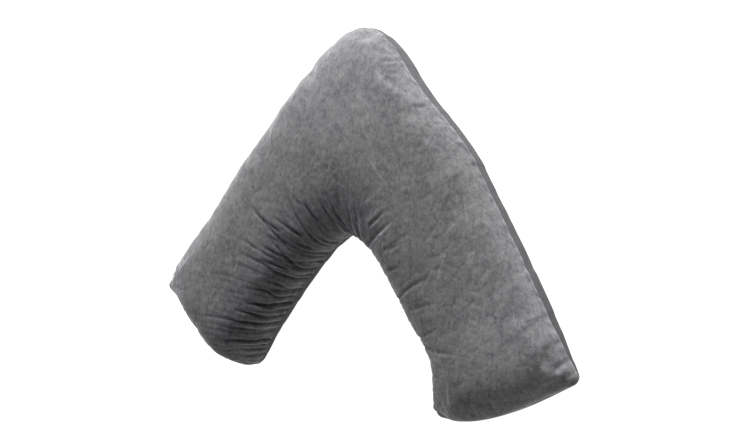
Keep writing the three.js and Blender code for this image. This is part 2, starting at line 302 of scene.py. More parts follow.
# Crushed velour: depth of its creases, and how much of it is left over the point of the V, from a y
# on and over a length
CRUSHED_DEPTH = 1.3
CRUSHED_AT_POINT = 0.45
POINT_FROM = 90
POINT_OVER = 160
# Its creases: size and depth of the warp that bends them, and for the wide and for the fine ones
# the size, sharpness, size of their patches and share
WARP_SIZE = 26
WARP_DEPTH = 9
CRINKLES = ((17, 3.4, 21, 0.65), (9, 3.0, 15, 0.35))
PATCH_CONTRAST = 1.6

# Seeds of the noise
SEEDS = {
    "lumps": 11,
    "crushed": 21,
    "ripples": 31,
    "inner_seam": 51,
    "outer_seam": 61,
    "ripple_patches": 71,
    "gathers": 91,
}

# Colours of the velour from the darkest to the lightest nap, and of the back cloth from between its
# threads to their tops, each with its place on the scale; and what multiplies the velour's colour
# where shade is painted, and where light is painted or the nap is scratched lighter
VELOUR_COLOURS = ((0.53, (0.034, 0.034, 0.037)), (1.0, (0.142, 0.142, 0.144)))
BACK_COLOURS = ((0.3, (0.034, 0.034, 0.036)), (0.85, (0.085, 0.086, 0.09)))
PAINTED_SHADE_TINT = (0.5, 0.5, 0.53)
PAINTED_LIGHT_AND_SCRATCH_TINT = (2.1, 2.1, 2.12)

# Camera: turned to the right of the front's normal and towards the point of the V, then rolled.
# It aims at a place given as in the tables, in millimetres.
CAMERA_TURN = 32.8
CAMERA_TILT = 7.6
CAMERA_ROLL = 3.2
CAMERA_AIM = (50.0, 3.0, 74.0)
CAMERA_DISTANCE = 2.037
CAMERA_LENS = 49.0
SENSOR_WIDTH = 36.0

# Studio: size of the floor, brightness of the floor and of the world, and for each light its name,
# place and power, with their size and what they point at
FLOOR_SIZE = 14
FLOOR_GLOW = 0.95
WORLD_STRENGTH = 0.27
LIGHTS = [
    ("key_light", (0.35, 2.9, 0.85), 282),
    ("left_light", (-2.4, 1.6, 0.9), 110),
    ("fill_light", (-1.2, -2.6, 1.1), 50),
]
LIGHT_SIZE = 1.2
LIGHT_AIM = (0, 0, 0.05)


def smooth(x):
    """Soft step from 0 to 1."""
    x = np.clip(x, 0.0, 1.0)
    return x * x * (3 - 2 * x)


def swell(share):
    """Height of a filled section: 1 in its middle, 0 at its two edges."""
    return (1 - np.minimum(1, np.abs(share)) ** FULLNESS) ** (1 / FULLNESS)


def lean(share):
    """How far a filled section's skin leans outwards, from -1 at one edge to 1 at the other."""
    return np.sign(share) * np.abs(share) ** (FULLNESS - 1)


def through(table, place):
    """Smooth curve through the rows of a table, at places counted in rows."""
    first, last = 2 * table[:1] - table[1:2], 2 * table[-1:] - table[-2:-1]
    rows = np.concatenate([first, table, last])
    place = np.clip(place, 0, len(table) - 1 - 1e-9)
    k = place.astype(int)
    f = (place - k).reshape([-1] + [1] * (table.ndim - 1))
    a, b, c, d = rows[k], rows[k + 1], rows[k + 2], rows[k + 3]
    square = 2 * a - 5 * b + 4 * c - d
    cube = 3 * b - a - 3 * c + d
    return 0.5 * (2 * b + (c - a) * f + square * f ** 2 + cube * f ** 3)


def run_along(line):
    """Length of a line up to each of its points."""
    return np.concatenate([[0], np.cumsum(np.linalg.norm(np.diff(line, axis=0), axis=1))])


def run_over(grid, axis):
    """Length over the cloth up to each point of a grid, from its first row or column."""
    steps = np.linalg.norm(np.diff(grid, axis=axis), axis=2)
    return np.insert(np.cumsum(steps, axis=axis), 0, 0, axis=axis)


def even_places(count):
    """Places along the V, evenly spaced along the middle of its arms."""
    fine = np.linspace(0, len(SECTIONS) - 1, 4001)
    rows = through(SECTIONS, fine)
    run = run_along((rows[:, 0:2] + rows[:, 2:4]) / 2)
    return np.interp(np.linspace(0, run[-1], count), run, fine)


def even_columns(count):
    """Places across a section from 0 to 1, evenly spaced along its arc."""
    share = -np.cos(np.linspace(0, math.pi, 2001))
    steps = np.hypot(np.diff(share) * ARM_WIDTH / 2, np.diff(swell(share)) * SEAM_HEIGHT)
    arc = np.concatenate([[0], np.cumsum(steps)])
    return (1 + np.interp(np.linspace(0, arc[-1], count + 1), arc, share)) / 2


def value_noise(points, size, seed):
    """Smooth noise from -1 to 1, with lumps of about the given size in millimetres."""
    rng = np.random.default_rng(seed)
    table = rng.uniform(-1, 1, (32, 32, 32))
    q = points / size
    k = np.floor(q).astype(int)
    f = q - k
    f = f * f * f * (f * (6 * f - 15) + 10)
    total = np.zeros(points.shape[:-1])
    for corner in range(8):
        bits = [(corner >> axis) & 1 for axis in range(3)]
        weight = np.ones(points.shape[:-1])
        for axis in range(3):
            weight = weight * (f[..., axis] if bits[axis] else 1 - f[..., axis])
        ids = [(k[..., axis] + bits[axis]) % 32 for axis in range(3)]
        total += weight * table[ids[0], ids[1], ids[2]]
    return total


class Pillow:
    """The plain surfaces of the pillow, as rows of points: one row for each section."""

    def __init__(self, places):
        rows = through(SECTIONS, places)
        self.outer = np.column_stack([rows[:, 0:2], SEAM_HEIGHT + rows[:, 5]])
        self.inner = np.column_stack([rows[:, 2:4], SEAM_HEIGHT + rows[:, 4]])
        self.top = THICKNESS + rows[:, 6]
        for line, seed in ((self.inner, SEEDS["inner_seam"]), (self.outer, SEEDS["outer_seam"])):
            run = run_along(line) / SEAM_WAVE_PITCH
            for axis in range(3):
                place = np.stack([run, 0 * run, 0 * run], -1)
                line[:, axis] += SEAM_WAVE * value_noise(place, 1.0, seed + axis)
        middle = (rows[:, 0:2] + rows[:, 2:4]) / 2
        run = run_along(middle)
        self.from_end = {"left": run, "right": run[-1] - run}
        runs = [run_along(line) for line in (rows[:, 2:4], rows[:, 0:2])]
        self.seam_from_end = {"left": runs, "right": [run[-1] - run for run in runs]}
        forward = np.gradient(middle, axis=0)
        across = rows[:, 0:2] - rows[:, 2:4]
        self.forward = forward / np.linalg.norm(forward, axis=1)[:, None]
        self.across = across / np.linalg.norm(across, axis=1)[:, None]
        self.width = np.linalg.norm(self.outer - self.inner, axis=1)[:, None]

    def seam_level(self, t):
        """The sheet between the seams, level across an arm, at shares t of the way across."""
        shares = t[None, :, None]
        points = self.inner[:, None] * (1 - shares) + self.outer[:, None] * shares
        for side, sign in (("left", -1), ("right", 1)):
            bow, skew, length = END_BOW[side]
            ease = np.clip(1 - self.from_end[side] / length, 0, 1) ** 2
            shape = bow * np.sin(math.pi * t) + skew * np.sin(2 * math.pi * t)
            moved = sign * (ease[:, None] * shape[None])[..., None] * self.forward[:, None]
            points[..., :2] += moved
        self.round_corners(points, t)
        return points

    def round_corners(self, points, t):
        """Turns the square corners of the seam into round ones."""
        for (radius, _, _), from_end, away, sign, inwards in self.corners(t):
            p = np.clip(radius - from_end, 0, None)
            q = np.clip(radius - away, 0, None)
            shrink = 1 - np.maximum(p, q) / np.maximum(np.hypot(p, q), 1e-9)
            points[..., :2] += (-sign * p * shrink)[..., None] * self.forward[:, None]
            points[..., :2] += (inwards * q * shrink)[..., None] * self.across[:, None]

    def corners(self, t):
        """The four corners: row in CORNERS, distances from the end and the side, and signs."""
        for side, sign in (("left", -1), ("right", 1)):
            from_inner, from_outer = self.seam_from_end[side]
            inner, outer = CORNERS[side]
            yield inner, from_inner[:, None], self.width * t[None], sign, 1
            yield outer, from_outer[:, None], self.width * (1 - t[None]), sign, -1

    def taper(self, side, t):
        """How far an arm has closed down: 0 before the taper, 1 at the end seam."""
        inner, outer = END_TAPER[side]
        return np.clip(1 - self.from_end[side][:, None] / (inner + (outer - inner) * t[None]), 0, 1)

    def filled(self, t):
        """Share of the full height: 0 at the seams, 1 over the middle of an arm."""
        share = swell(self.taper("left", t)) * swell(self.taper("right", t))
        share = share * swell(2 * t - 1)[None]
        for (_, low, reach), from_end, away, _, _ in self.corners(t):
            share = share * (low + (1 - low) * smooth(np.hypot(from_end, away) / reach))
        return share

    def front(self, t):
        """The upper skin."""
        points = self.seam_level(t)
        points[..., 2] += (self.top[:, None] - points[..., 2]) * self.filled(t)
        return points

    def back(self, t, inset=0.0):
        """The lower skin, or a surface at some distance inside it."""
        points = self.seam_level(t)
        level = points[..., 2].copy()
        z = np.maximum(level * (1 - UNDERSIDE_PRESS * self.filled(t)), 0)
        points[..., :2] -= inset * lean(2 * t - 1)[None, :, None] * self.across[:, None]
        ends = lean(self.taper("left", t)) - lean(self.taper("right", t))
        points[..., :2] += inset * ends[..., None] * self.forward[:, None]
        points[..., 2] = inset + z * (level - inset) / level
        return points


def normals(points):
    """Directions out of the upper skin."""
    n = np.cross(np.gradient(points, axis=0), np.gradient(points, axis=1))
    return n / np.maximum(np.linalg.norm(n, axis=-1), 1e-9)[..., None]


def along_line(x, y, row):
    """Share of a bowed line that lies before each place, and the place's distance from it."""
    start_x, start_y, heading, reach, bow = row[:5]
    angle = math.radians(heading)
    dx, dy = x - start_x, y - start_y
    along = (dx * math.cos(angle) + dy * math.sin(angle)) / reach
    bowed = bow * 4 * along * (1 - along)
    return along, dy * math.cos(angle) - dx * math.sin(angle) - bowed


def fold_depth(x, y):
    """Depth of the folds, and how much of it is the narrow crease at the middle of each, which sets
    the painted shade in that crease.
    """
    depth = np.zeros_like(x)
    painted_shade = np.zeros_like(x)
    rows = [(row, GROOVE_SHARE, CREASE_SHARE) for row in FOLDS]
    rows += [(row, 0, 1) for row in FINE_FOLDS]
    for row, groove, narrow in rows:
        start_x, _, _, reach, _, width, deep = row
        narrow = narrow * (RIGHT_CREASE_SHARE if start_x > RIGHT_FOLDS_FROM else 1)
        along, off = along_line(x, y, row)
        strength = smooth(along * reach / FOLD_RISE) * (1 - np.clip(along, 0, 1) ** 2)
        strength = np.where((along > 0) & (along < 1), strength, 0)
        wide = off / width
        shoulders = np.exp(-((np.abs(wide) - SHOULDER_OFFSET) ** 2)) * FOLD_SHOULDER
        depth += deep * groove * strength * (np.exp(-wide ** 2) - shoulders)
        slim = off / CREASE_WIDTH
        trough = np.exp(-TROUGH_FALL * (np.sqrt(slim ** 2 + TROUGH_ROUNDNESS) - TROUGH_BOTTOM))
        rolls = np.exp(-((np.abs(slim) - ROLL_OFFSET) ** 2) / ROLL_SPREAD) * FOLD_SHOULDER
        depth += deep * narrow * strength * (trough - rolls)
        painted_shade += deep * narrow * strength * np.exp(-slim ** 2)
    return depth, painted_shade


def painted_light_and_shade(plain):
    """Painted shade and painted light: broad places where more or less light falls, and thin lines
    along the seams.
    """
    x, y = plain[..., 0], plain[..., 1]
    tone = np.zeros_like(x)
    # Broad painted light and shade
    for middle_x, middle_y, reach, strength in PAINTED_PATCHES:
        away = (x - middle_x) ** 2 + (y - middle_y) ** 2
        tone += strength * np.exp(-away / (2 * (reach * PAINTED_PATCH_SPREAD) ** 2))
    away = run_over(plain, 1)
    # Painted shade over the left arm's inner slope
    strength, middle, reach = PAINTED_SHADE_INSIDE
    inside = strength * np.exp(-((away - middle) / reach) ** 2)
    tone -= inside * smooth((INSIDE_SHADE_ENDS_AT - plain[:, :1, 0]) / INSIDE_SHADE_FADES_OVER)
    # Painted highlight along the right arm's outer seam, and painted shade along the left arm's
    # inner seam and along the end seams
    rim = np.exp(-((away[:, -1:] - away) / RIM_WIDTH) ** 2) * smooth(x / RIM_SETS_IN_OVER)
    inner_edge = np.exp(-((away - INNER_EDGE_AT) / INNER_EDGE_WIDTH) ** 2)
    inner_edge = inner_edge * smooth((INNER_EDGE_TO - x) / INNER_EDGE_FADES_OVER)
    ends = np.zeros_like(x)
    for from_end in pillow.from_end.values():
        ends = np.maximum(ends, np.exp(-(from_end[:, None] / RIM_WIDTH) ** 2))
    dark = np.clip(-tone, 0, 1) + INNER_EDGE_DARK * inner_edge + ENDS_DARK * ends
    return dark, (np.clip(tone, 0, 1) + RIM_LIGHT * rim) * (1 - ends)


def highlight_and_scratch_lines(x, y):
    """Strength of the thin lighter lines over the front: painted highlights beside folds, and
    lighter scratches.
    """
    light = np.zeros_like(x)
    for row in HIGHLIGHT_AND_SCRATCH_LINES:
        width, strong = row[5:]
        along, off = along_line(x, y, row)
        ends = smooth(along * LIGHT_LINE_ENDS) * smooth((1 - along) * LIGHT_LINE_ENDS)
        light = np.maximum(light, strong * ends * np.exp(-(off / width) ** 2))
    return light


def fold_headings():
    """Places along all main folds and the directions of the folds there."""
    places, headings = [], []
    for start_x, start_y, heading, reach, bow, _, _ in FOLDS:
        angle = math.radians(heading)
        ahead = np.array([math.cos(angle), math.sin(angle)])
        left = np.array([-math.sin(angle), math.cos(angle)])
        for along in (0.0, 0.25, 0.5, 0.75, 1.0):
            off = left * bow * 4 * along * (1 - along)
            places.append([start_x, start_y] + ahead * along * reach + off)
            turned = ahead * reach + left * bow * 4 * (1 - 2 * along)
            headings.append(turned / np.linalg.norm(turned))
    return np.array(places), np.array(headings)


def on_grid(grid, x, y):
    """Values of a grid between its cells."""
    x = np.clip(x, 0, grid.shape[0] - 1.001)
    y = np.clip(y, 0, grid.shape[1] - 1.001)
    i, j = x.astype(int), y.astype(int)
    f, g = x - i, y - j
    low = grid[i, j] * (1 - f) + grid[i + 1, j] * f
    high = grid[i, j + 1] * (1 - f) + grid[i + 1, j + 1] * f
    return low * (1 - g) + high * g


def gathers(x, y):
    """Heights of thin gathers: noise that is drawn out along the main folds' direction."""
    places, headings = fold_headings()
    low = places.min(0) - GATHER_MARGIN
    size = np.ceil((places.max(0) + GATHER_MARGIN - low) / GATHER_CELL).astype(int)
    grid = np.stack(np.meshgrid(np.arange(size[0]), np.arange(size[1]), indexing="ij"), -1)
    spots = low + grid * GATHER_CELL
    ahead = np.zeros(spots.shape)
    for place, heading in zip(places, headings):
        away = ((spots - place) ** 2).sum(-1)
        ahead += np.exp(-away / (2 * FLOW_SPREAD ** 2))[..., None] * heading + 1e-12 * heading
    ahead /= np.maximum(np.linalg.norm(ahead, axis=-1), 1e-15)[..., None]
    rng = np.random.default_rng(SEEDS["gathers"])
    waves = np.hypot(np.fft.fftfreq(size[0])[:, None], np.fft.fftfreq(size[1])[None])
    fine, coarse = (width / GATHER_CELL for width in GATHER_WIDTHS)
    kept = np.exp(-BLUR * (waves * fine) ** 2) - np.exp(-BLUR * (waves * coarse) ** 2)
    noise = np.fft.ifft2(np.fft.fft2(rng.normal(size=size)) * kept).real
    total = noise.copy()
    steps = int(GATHER_LENGTH / GATHER_CELL)
    for way in (1, -1):
        at = grid.astype(float)
        for step in range(steps):
            step_ahead = [on_grid(ahead[..., k], at[..., 0], at[..., 1]) for k in range(2)]
            at += way * np.stack(step_ahead, -1)
            fade = 0.5 + 0.5 * math.cos(math.pi * (step + 1) / (steps + 1))
            total += fade * on_grid(noise, at[..., 0], at[..., 1])
    total /= total.std()
    return on_grid(total, (x - low[0]) / GATHER_CELL, (y - low[1]) / GATHER_CELL)


def gathered_front(plain):
    """Depth of the gathers over the front, and how much shade is painted in their troughs."""
    away = run_over(plain, 1)
    left, right = GATHER_REACH
    turned = smooth((GATHER_TURNS_AT - plain[:, :1, 0]) / GATHER_TURNS_OVER)
    reach = right + (left - right) * turned
    strength = smooth(away / GATHER_RISE) * np.exp(-(away / reach) ** 2)
    wave = gathers(plain[..., 0], plain[..., 1])
    sharp = (np.exp(GATHER_SHARPNESS * wave) - 1) / GATHER_SHARPNESS
    # Painted shade in the gathers' troughs
    troughs = strength * np.clip(wave - GATHER_DARK_FROM, 0, GATHER_DARK_MOST)
    return GATHER_DEPTH * strength * sharp, troughs


def crinkles(points):
    """Creases of crushed velour: thin troughs where warped noise passes through zero."""
    seed = SEEDS["crushed"]
    warp = np.stack([value_noise(points, WARP_SIZE, seed + k) for k in range(3)], -1)
    q = points + warp * WARP_DEPTH
    total = 0
    for k, (size, sharpness, patch_size, share) in enumerate(CRINKLES):
        lines = 1 - np.abs(value_noise(q, size, seed + 5 + k)) * sharpness
        patch = smooth(0.5 + PATCH_CONTRAST * value_noise(points, patch_size, seed + 7 + k))
        total = total + share * patch * np.clip(lines, 0, 1) ** 2
    return total


def nearest_run(points, line):
    """For each point, the place along a line that lies nearest to it in the plan."""
    run = run_along(line)
    flat = points[..., :2].reshape(-1, 2)
    places = np.empty(len(flat))
    for start in range(0, len(flat), BATCH):
        part = flat[start:start + BATCH]
        away = ((part[:, None] - line[None, :, :2]) ** 2).sum(-1)
        k = np.clip(away.argmin(1), 1, len(line) - 2)
        before, here, after = (away[np.arange(len(part)), k + step] for step in (-1, 0, 1))
        shift = 0.5 * (before - after) / np.maximum(before - 2 * here + after, 1e-6)
        gap = (run[k + 1] - run[k - 1]) / 2
        places[start:start + BATCH] = run[k] + np.clip(shift, -1, 1) * gap
    return places.reshape(points.shape[:-1])


def seam_fields(plain):
    """For each seam: places along it, and distances from it over the cloth."""
    from_inner = run_over(plain, 1)
    from_left = run_over(plain, 0)
    across = np.broadcast_to(run_along(plain[SAMPLE_STATION])[None], from_left.shape)
    outer_run = np.broadcast_to(run_along(plain[:, -1])[:, None], from_inner.shape)
    return {
        "inner": (nearest_run(plain, plain[:, 0]), from_inner),
        "outer": (outer_run, from_inner[:, -1:] - from_inner),
        "left": (across, from_left),
        "right": (across, from_left[-1:] - from_left),
    }


def ripples(plain):
    """Depth of the gathered ripples beside the four seams."""
    depth = np.zeros(plain.shape[:-1])
    fields = seam_fields(plain)
    flat = np.zeros_like(depth)
    left_side = smooth(1 - fields["inner"][0] / LEFT_SEAM_LENGTH)
    mean, contrast, patch_run, patch_away = RIPPLE_PATCHES
    for k, (name, (run, away)) in enumerate(fields.items()):
        deep, reach, pitch, slant = RIPPLES[name]
        run = run + slant * away * left_side
        for octave, share in RIPPLE_SIZES:
            size = pitch * octave
            place = np.stack([run / size, away / (RIPPLE_STRETCH * size), flat], -1)
            wave = value_noise(place, 1.0, SEEDS["ripples"] + k)
            sharp = 1 - 2 * np.abs(wave) ** RIPPLE_SHARPNESS
            place = np.stack([run / patch_run, away / patch_away, flat], -1)
            patch = mean + contrast * value_noise(place, 1.0, SEEDS["ripple_patches"] + k)
            fade = np.exp(-(away / reach) ** 2) * smooth(away / RIPPLE_RISE)
            side = RIGHT_ARM_SHARE + (1 - RIGHT_ARM_SHARE) * left_side if name == "inner" else 1
            depth += deep * share * side * patch * fade * sharp
    return depth


def grid_faces(ids, upward):
    """Faces between the rows and columns of a grid of point numbers."""
    a, b, c, d = ids[:-1, :-1], ids[:-1, 1:], ids[1:, 1:], ids[1:, :-1]
    return np.stack([a, d, c, b] if upward else [a, b, c, d], -1).reshape(-1, 4).tolist()


def sim_mesh(points):
    """Closed mesh of the front and underside grids, welded along their common seam."""
    stations, columns = points.shape[:2]
    under = pillow.back(front_t[::SIM_COLUMN_STEP])[::SIM_STATION_STEP]
    ids = np.arange(stations * columns).reshape(stations, columns)
    low = ids.copy()
    inner = np.arange((stations - 2) * (columns - 2)).reshape(stations - 2, columns - 2)
    low[1:-1, 1:-1] = inner + stations * columns
    verts = np.concatenate([points.reshape(-1, 3), under[1:-1, 1:-1].reshape(-1, 3)])
    return verts, grid_faces(ids, True) + grid_faces(low, False)


def simulated_shift(plain):
    """Moves of the front after a cloth simulation: the filling presses a cover that is a little too
    large for it, held at its seam, so that it creases as a sewn cover does."""
    start = plain[::SIM_STATION_STEP, ::SIM_COLUMN_STEP]
    verts, faces = sim_mesh(start)
    mesh = bpy.data.meshes.new("cover_for_simulation")
    mesh.from_pydata([tuple(v) for v in verts * MM], [], faces)
    cover = bpy.data.objects.new("cover_for_simulation", mesh)
    bpy.context.collection.objects.link(cover)
    held = cover.vertex_groups.new(name="held")
    ids = np.arange(start.shape[0] * start.shape[1]).reshape(start.shape[:2])
    ring = np.concatenate([ids[0], ids[-1], ids[:, 0], ids[:, -1]])
    under = np.arange(ids.size, len(verts))
    held.add(np.concatenate([ring, under]).tolist(), 1.0, "REPLACE")
    cloth = cover.modifiers.new("cloth", "CLOTH")
    settings = cloth.settings
    settings.quality = 6
    settings.mass = 0.3
    settings.tension_stiffness = 15
    settings.compression_stiffness = 15
    settings.shear_stiffness = 5
    settings.bending_stiffness = SIM_BENDING
    settings.vertex_group_mass = "held"
    settings.use_pressure = True
    settings.uniform_pressure_force = SIM_PRESSURE
    settings.shrink_min = -SIM_EASE
    settings.effector_weights.gravity = 0
    cloth.collision_settings.use_collision = False
    scene = bpy.context.scene
    for number in range(1, SIM_FRAMES + 1):
        scene.frame_set(number)
    shaped = cover.evaluated_get(bpy.context.evaluated_depsgraph_get()).to_mesh()
    after = np.empty(len(verts) * 3, np.float32)
    shaped.vertices.foreach_get("co", after)
    scene.frame_set(1)
    bpy.data.objects.remove(cover)
    bpy.data.meshes.remove(mesh)
    moved = (after.reshape(-1, 3) / MM - verts)[:ids.size].reshape(start.shape)
    length = np.linalg.norm(moved, axis=-1, keepdims=True)
    moved *= np.minimum(1, SIM_CAP / np.maximum(length, 1e-9))
    moved -= averaged(averaged(moved, 0, SIM_SPREAD[0]), 1, SIM_SPREAD[1])
    return finer(finer(moved, 0, len(plain)), 1, plain.shape[1])


def averaged(grid, axis, cells):
    """Running mean along one axis, taken twice."""
    for _ in range(2):
        grid = np.moveaxis(grid, axis, 0)
        rows = np.concatenate([grid[:1]] * cells + [grid] + [grid[-1:]] * cells)
        total = np.cumsum(np.concatenate([rows[:1] * 0, rows]), axis=0)
        window = 2 * cells + 1
        grid = np.moveaxis((total[window:] - total[:-window]) / window, 0, axis)
    return grid


def finer(grid, axis, count):
    """Smooth values between the rows of a coarse grid."""
    grid = np.moveaxis(grid, axis, 0)
    return np.moveaxis(through(grid, np.linspace(0, len(grid) - 1, count)), 0, axis)


def corner_calm(plain):
    """0 at the four corners of the seam, 1 away from them."""
    calm = np.ones(plain.shape[:-1])
    for row, column in ((0, 0), (0, -1), (-1, 0), (-1, -1)):
        away = np.linalg.norm(plain - plain[row, column], axis=-1)
        calm = calm * smooth(away / CORNER_CALM - CORNER_STILL)
    return calm


def build_front():
    """The velour front with all its relief, and how much shade and how much light is painted on it,
    with its lighter scratches.
    """
    plain = pillow.front(front_t)
    level = pillow.seam_level(front_t)[..., 2]
    calm = smooth((plain[..., 2] - level) / SEAM_CALM)
    n = normals(plain)
    n[0] = n[-1] = 0
    n[:, 0] = n[:, -1] = 0
    lumps = sum(height * value_noise(plain, size, SEEDS["lumps"] + k)
                for k, (size, height) in enumerate(LUMPS))
    shape = plain + n * (lumps * calm)[..., None]
    shape = shape + SIM_SHARE * corner_calm(plain)[..., None] * simulated_shift(shape)
    depth, painted_shade = fold_depth(plain[..., 0], plain[..., 1])
    rough = 1 - (1 - CRUSHED_AT_POINT) * smooth((plain[..., 1] - POINT_FROM) / POINT_OVER)
    crushed = CRUSHED_DEPTH * rough * crinkles(plain) * calm
    pulled, troughs = gathered_front(plain)
    points = shape - n * ((depth + pulled) * calm + crushed + ripples(plain))[..., None]
    painted_darkening, painted_light = painted_light_and_shade(plain)
    # Painted shade: darker in creases, in the gathers' troughs, along some seams and where less
    # light falls
    shade = painted_shade * calm / DARKEST_CREASE + GATHER_DARK * troughs * calm + painted_darkening
    # Painted light: lighter where more light falls, along the right arm's outer seam and beside
    # folds, with lighter scratches
    light = painted_light + highlight_and_scratch_lines(plain[..., 0], plain[..., 1])
    return points, np.clip(shade, 0, 1), np.clip(light, 0, 1)


def seam_shift():
    """Moves the tables' places so that the middle of the pillow's box is over the origin."""
    ring = pillow.seam_level(front_t)[..., :2].reshape(-1, 2)
    middle = (ring.min(0) + ring.max(0)) / 2
    return np.array([middle[0], middle[1], 0.0])


def new_object(name, points, faces):
    """A smooth mesh object from points in the tables' millimetres."""
    mesh = bpy.data.meshes.new(name)
    mesh.from_pydata([tuple(p) for p in (points - SHIFT) * MM], [], faces)
    mesh.update()
    mesh.shade_smooth()
    mesh.set_sharp_from_angle(angle=math.radians(SHARP_ANGLE))
    obj = bpy.data.objects.new(name, mesh)
    bpy.context.collection.objects.link(obj)
    return obj


def closed_piece(name, upper, lower):
    """A closed solid between an upper and a lower grid that share their stations. The upper grid's
    columns are a multiple of the lower's, or the other way round, and the ends are joined by
    many-sided faces."""
    stations, m = upper.shape[:2]
    n = lower.shape[1]
    top = np.arange(stations * m).reshape(stations, m)
    low = np.arange(stations * n).reshape(stations, n) + stations * m
    faces = grid_faces(top, True) + grid_faces(low, False)
    for column, flip in ((0, False), (-1, True)):
        a, b = top[:-1, column], top[1:, column]
        c, d = low[1:, column], low[:-1, column]
        faces += np.stack([a, d, c, b] if flip else [a, b, c, d], -1).tolist()
    for row, flip in ((0, True), (-1, False)):
        many, few = (top[row], low[row]) if m > n else (low[row], top[row])
        ratio = (len(many) - 1) // (len(few) - 1)
        for k in range(len(few) - 1):
            face = many[k * ratio:(k + 1) * ratio + 1].tolist()
            face += [int(few[k + 1]), int(few[k])]
            reverse = flip if m > n else not flip
            faces.append(face[::-1] if reverse else face)
    return new_object(name, np.concatenate([upper.reshape(-1, 3), lower.reshape(-1, 3)]), faces)


def make_front_piece():
    """The velour front over the filled body, with its painted shade, and its painted light and
    lighter scratches, as point attributes.
    """
    points, shade, light = build_front()
    hidden = pillow.back(hidden_t, CLOTH + CLEARANCE)
    piece = closed_piece("velour_front", points, hidden)
    # Point attributes of the painted shade, and of the painted light with lighter scratches
    for name, grid in (("painted_shade", shade), ("painted_light_and_scratches", light)):
        values = np.zeros(len(piece.data.vertices))
        values[:grid.size] = grid.ravel()
        piece.data.attributes.new(name, "FLOAT", "POINT").data.foreach_set("value", values)
    return piece


def lower_ring(points):
    """Lowers a panel's edge a little, so that it stays clear of the front."""
    points = points.copy()
    for edge in (points[0], points[-1]):
        edge[:, 2] -= SEAM_GAP
    points[1:-1, 0, 2] -= SEAM_GAP
    points[1:-1, -1, 2] -= SEAM_GAP
    return points


def make_back_piece():
    outside = lower_ring(pillow.back(panel_t))
    inside = lower_ring(pillow.back(hidden_t, CLOTH))
    return closed_piece("plain_back", inside, outside)


def node(tree, kind, **inputs):
    """A new node with some of its sockets set."""
    made = tree.nodes.new(kind)
    for name, value in inputs.items():
        made.inputs[name.replace("_", " ")].default_value = value
    return made


def multiply_add(tree, source, factor, added):
    """A source times a factor, plus another source."""
    made = tree.nodes.new("ShaderNodeMath")
    made.operation = "MULTIPLY_ADD"
    made.inputs[1].default_value = factor
    tree.links.new(source, made.inputs[0])
    tree.links.new(added, made.inputs[2])
    return made.outputs[0]


def colours_between(tree, source, ends):
    """Colours between two ends, each a place on the scale and a colour."""
    ramp = tree.nodes.new("ShaderNodeValToRGB")
    for stop, (position, colour) in zip(ramp.color_ramp.elements, ends):
        stop.position = position
        stop.color = (*colour, 1)
    tree.links.new(source, ramp.inputs["Fac"])
    return ramp.outputs["Color"]


def multiplied_where(tree, attribute, source, tint):
    """A colour multiplied by a tint as far as a point attribute says."""
    told = tree.nodes.new("ShaderNodeAttribute")
    told.attribute_name = attribute
    made = tree.nodes.new("ShaderNodeMix")
    made.data_type = "RGBA"
    made.blend_type = "MULTIPLY"
    made.inputs["B"].default_value = (*tint, 1)
    tree.links.new(told.outputs["Fac"], made.inputs["Factor"])
    tree.links.new(source, made.inputs["A"])
    return made.outputs["Result"]


def bumped(tree, height, strength, distance):
    """Sends heights to the shader's normal."""
    bump = node(tree, "ShaderNodeBump", Strength=strength, Distance=distance)
    tree.links.new(height, bump.inputs["Height"])
    tree.links.new(bump.outputs["Normal"], tree.nodes["Principled BSDF"].inputs["Normal"])


def velour_material():
    """Brushed velour: patchy nap with strokes and fibres, with painted shade, and painted light and
    lighter scratches, from the front's attributes.
    """
    mat = bpy.data.materials.new("grey_velour")
    mat.use_nodes = True
    tree = mat.node_tree
    link = tree.links.new
    bsdf = tree.nodes["Principled BSDF"]
    bsdf.inputs["Roughness"].default_value = 0.95
    bsdf.inputs["Specular IOR Level"].default_value = 0.1
    bsdf.inputs["Sheen Weight"].default_value = 0.45
    bsdf.inputs["Sheen Roughness"].default_value = 0.3
    bsdf.inputs["Sheen Tint"].default_value = (0.76, 0.77, 0.8, 1)
    place = tree.nodes.new("ShaderNodeTexCoord").outputs["Object"]
    along_nap = node(tree, "ShaderNodeMapping", Scale=(1.0, 0.38, 1.0))
    link(place, along_nap.inputs["Vector"])
    broad = node(tree, "ShaderNodeTexNoise", Scale=22.0, Detail=2.0, Roughness=0.5, Distortion=0.6)
    nap = node(tree, "ShaderNodeTexNoise", Scale=85.0, Detail=4.0, Roughness=0.75, Distortion=0.4)
    strokes = node(tree, "ShaderNodeTexNoise", Scale=150.0, Detail=3.0, Roughness=0.7,
                   Distortion=0.8)
    fibre = node(tree, "ShaderNodeTexNoise", Scale=520.0, Detail=2.0, Roughness=0.6)
    for noise in (broad, nap, fibre):
        link(place, noise.inputs["Vector"])
    link(along_nap.outputs["Vector"], strokes.inputs["Vector"])
    stroked = node(tree, "ShaderNodeMix", Factor=0.4)
    link(nap.outputs["Fac"], stroked.inputs["A"])
    link(strokes.outputs["Fac"], stroked.inputs["B"])
    patchy = multiply_add(tree, broad.outputs["Fac"], 0.2, stroked.outputs["Result"])
    grained = multiply_add(tree, fibre.outputs["Fac"], 0.35, patchy)
    colour = colours_between(tree, grained, VELOUR_COLOURS)
    # Painted shade: darker in creases, the gathers' troughs, along some seams and where less light
    # falls
    colour = multiplied_where(tree, "painted_shade", colour, PAINTED_SHADE_TINT)
    # Painted light: lighter where more light falls, along the right arm's outer seam and beside
    # folds, with lighter scratches
    colour = multiplied_where(tree, "painted_light_and_scratches", colour, PAINTED_LIGHT_AND_SCRATCH_TINT)
    link(colour, bsdf.inputs["Base Color"])
    bumped(tree, grained, 0.5, 0.0012)
    return mat


